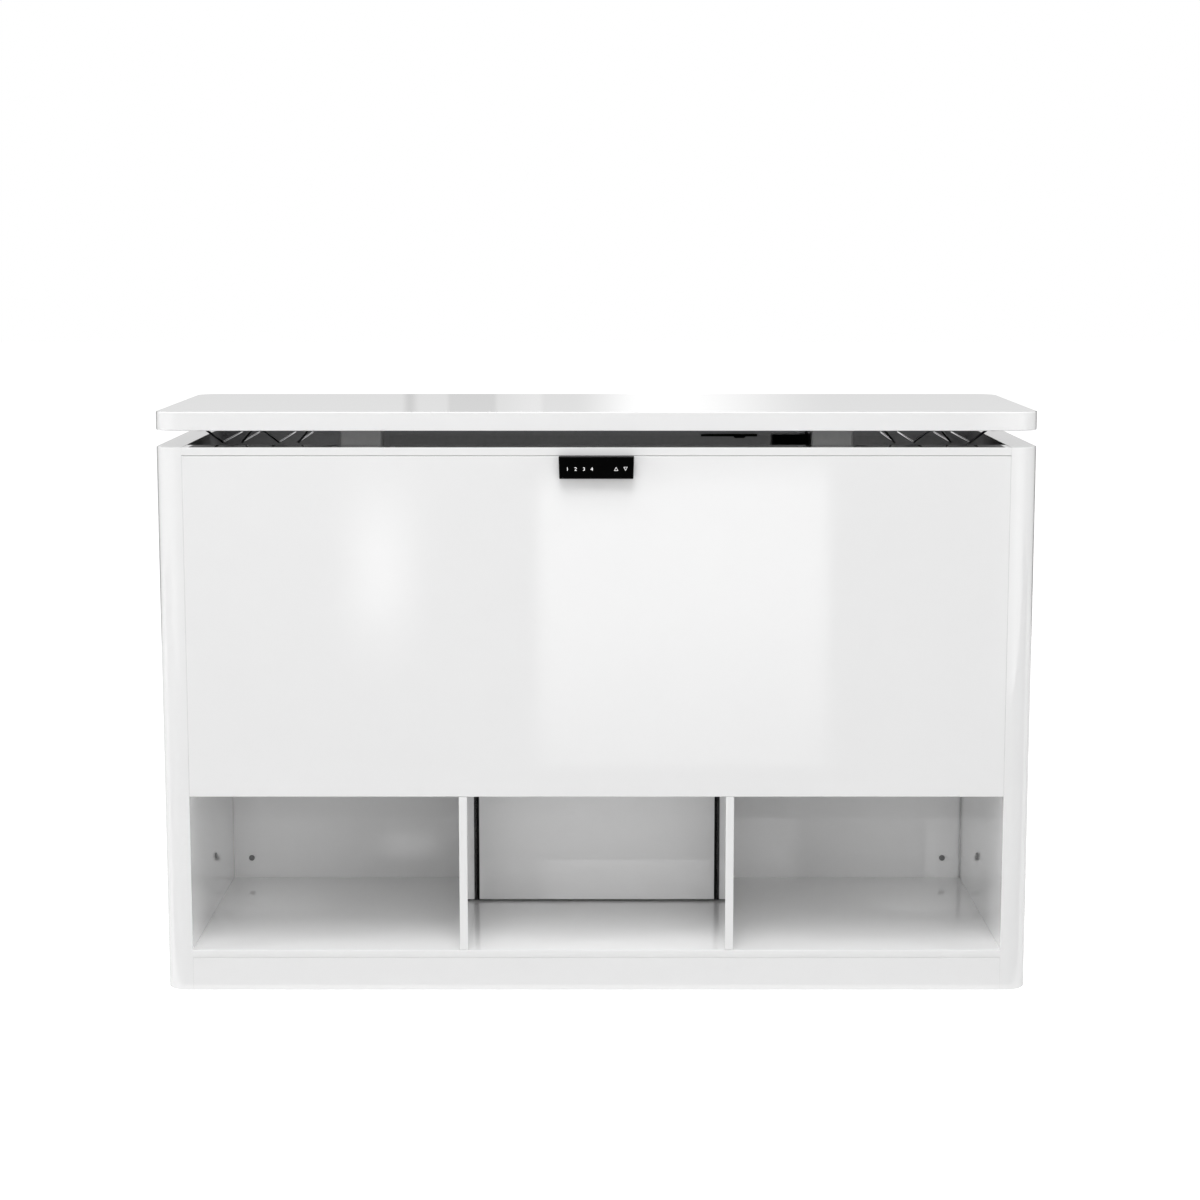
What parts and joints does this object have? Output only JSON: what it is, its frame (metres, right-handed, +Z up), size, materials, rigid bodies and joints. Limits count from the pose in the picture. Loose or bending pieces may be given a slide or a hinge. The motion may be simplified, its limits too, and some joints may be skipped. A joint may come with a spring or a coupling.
{
  "type": "lift bar cabinet",
  "caption": "White lacquered bar cabinet with open bays below, a lined well above them, and a rounded top slab raised by telescopic columns with wire stemware fingers hung under it.",
  "frame": {"origin": "on the floor, in the middle of the overall box at rest, which includes the keypad on the front", "axes": "+X to the right seen from the front, +Y from the front to the back, +Z up"},
  "size_m": [1.6, 0.568, 1.075],
  "materials": {
    "white_lacquer": "gloss white lacquer on fibreboard",
    "charcoal_laminate": "matt charcoal laminate sheet",
    "column_grey": "satin grey powder coat on steel tube",
    "black_plastic": "fine matt black",
    "keypad_glass": "gloss black touch face",
    "chrome_wire": "polished chrome plate",
    "zinc_steel": "zinc plated",
    "glide_plastic": "natural acetal",
    "stained_wood": "black-stained softwood"
  },
  "bodies": {
    "carcass": {"left_side_panel": "white_lacquer", "right_side_panel": "white_lacquer", "front_fascia": "white_lacquer", "front_top_rail": "white_lacquer", "rear_top_rail": "white_lacquer", "back_panel": "white_lacquer", "bottom_board": "white_lacquer", "front_plinth": "white_lacquer", "rear_plinth": "white_lacquer", "left_divider": "white_lacquer", "right_divider": "white_lacquer", "well_deck": "white_lacquer", "service_hatch": "white_lacquer", "left_hatch_cleat": "stained_wood", "right_hatch_cleat": "stained_wood", "left_well_liner": "charcoal_laminate", "right_well_liner": "charcoal_laminate", "front_well_liner": "charcoal_laminate", "rear_well_liner": "charcoal_laminate", "well_floor_liner": "charcoal_laminate", "keypad_housing": "black_plastic", "keypad_face": "keypad_glass", "lead_clip_bar": "black_plastic", "power_supply": "black_plastic", "mains_inlet": "black_plastic", "left_column_base": "zinc_steel", "right_column_base": "zinc_steel", "left_inner_tube": "column_grey", "right_inner_tube": "column_grey", "left_inner_guide": "glide_plastic", "right_inner_guide": "glide_plastic", "left_drive_nut": "glide_plastic", "right_drive_nut": "glide_plastic"},
    "left_middle_stage": {"left_middle_tube": "column_grey", "left_middle_guide": "glide_plastic", "left_middle_collar": "glide_plastic"},
    "right_middle_stage": {"right_middle_tube": "column_grey", "right_middle_guide": "glide_plastic", "right_middle_collar": "glide_plastic"},
    "lift_top": {"top_slab": "white_lacquer", "left_outer_tube": "column_grey", "right_outer_tube": "column_grey", "left_outer_collar": "glide_plastic", "right_outer_collar": "glide_plastic", "left_column_top_plate": "zinc_steel", "right_column_top_plate": "zinc_steel", "left_column_motor": "zinc_steel", "right_column_motor": "zinc_steel", "control_box": "black_plastic", "control_box_bracket": "zinc_steel", "control_lead": "black_plastic", "left_rack_outer_finger": "chrome_wire", "left_rack_middle_finger": "chrome_wire", "left_rack_inner_finger": "chrome_wire", "right_rack_outer_finger": "chrome_wire", "right_rack_middle_finger": "chrome_wire", "right_rack_inner_finger": "chrome_wire"},
    "left_screw": {"left_drive_screw": "zinc_steel"},
    "right_screw": {"right_drive_screw": "zinc_steel"}
  },
  "joints": [
    {"name": "lift", "type": "slide", "parent": "carcass", "child": "lift_top", "axis": [0, 0, 1], "range_m": [-0.028, 0.392]},
    {"name": "left_stage", "type": "slide", "parent": "carcass", "child": "left_middle_stage", "axis": [0, 0, 1], "range_m": [-0.014, 0.196]},
    {"name": "right_stage", "type": "slide", "parent": "carcass", "child": "right_middle_stage", "axis": [0, 0, 1], "range_m": [-0.014, 0.196]},
    {"name": "left_screw_turn", "type": "hinge", "parent": "lift_top", "child": "left_screw", "pos_m": [-0.4489, 0.009, 0.8911], "axis": [0, 0, 1], "continuous": true},
    {"name": "right_screw_turn", "type": "hinge", "parent": "lift_top", "child": "right_screw", "pos_m": [0.4489, 0.009, 0.8911], "axis": [0, 0, 1], "continuous": true}
  ],
  "couplings": [
    {"joint": "left_stage", "follows": "lift", "ratio": 0.5},
    {"joint": "right_stage", "follows": "lift", "ratio": 0.5},
    {"joint": "left_screw_turn", "follows": "lift", "rad_per_m": 523.6},
    {"joint": "right_screw_turn", "follows": "lift", "rad_per_m": 523.6}
  ]
}
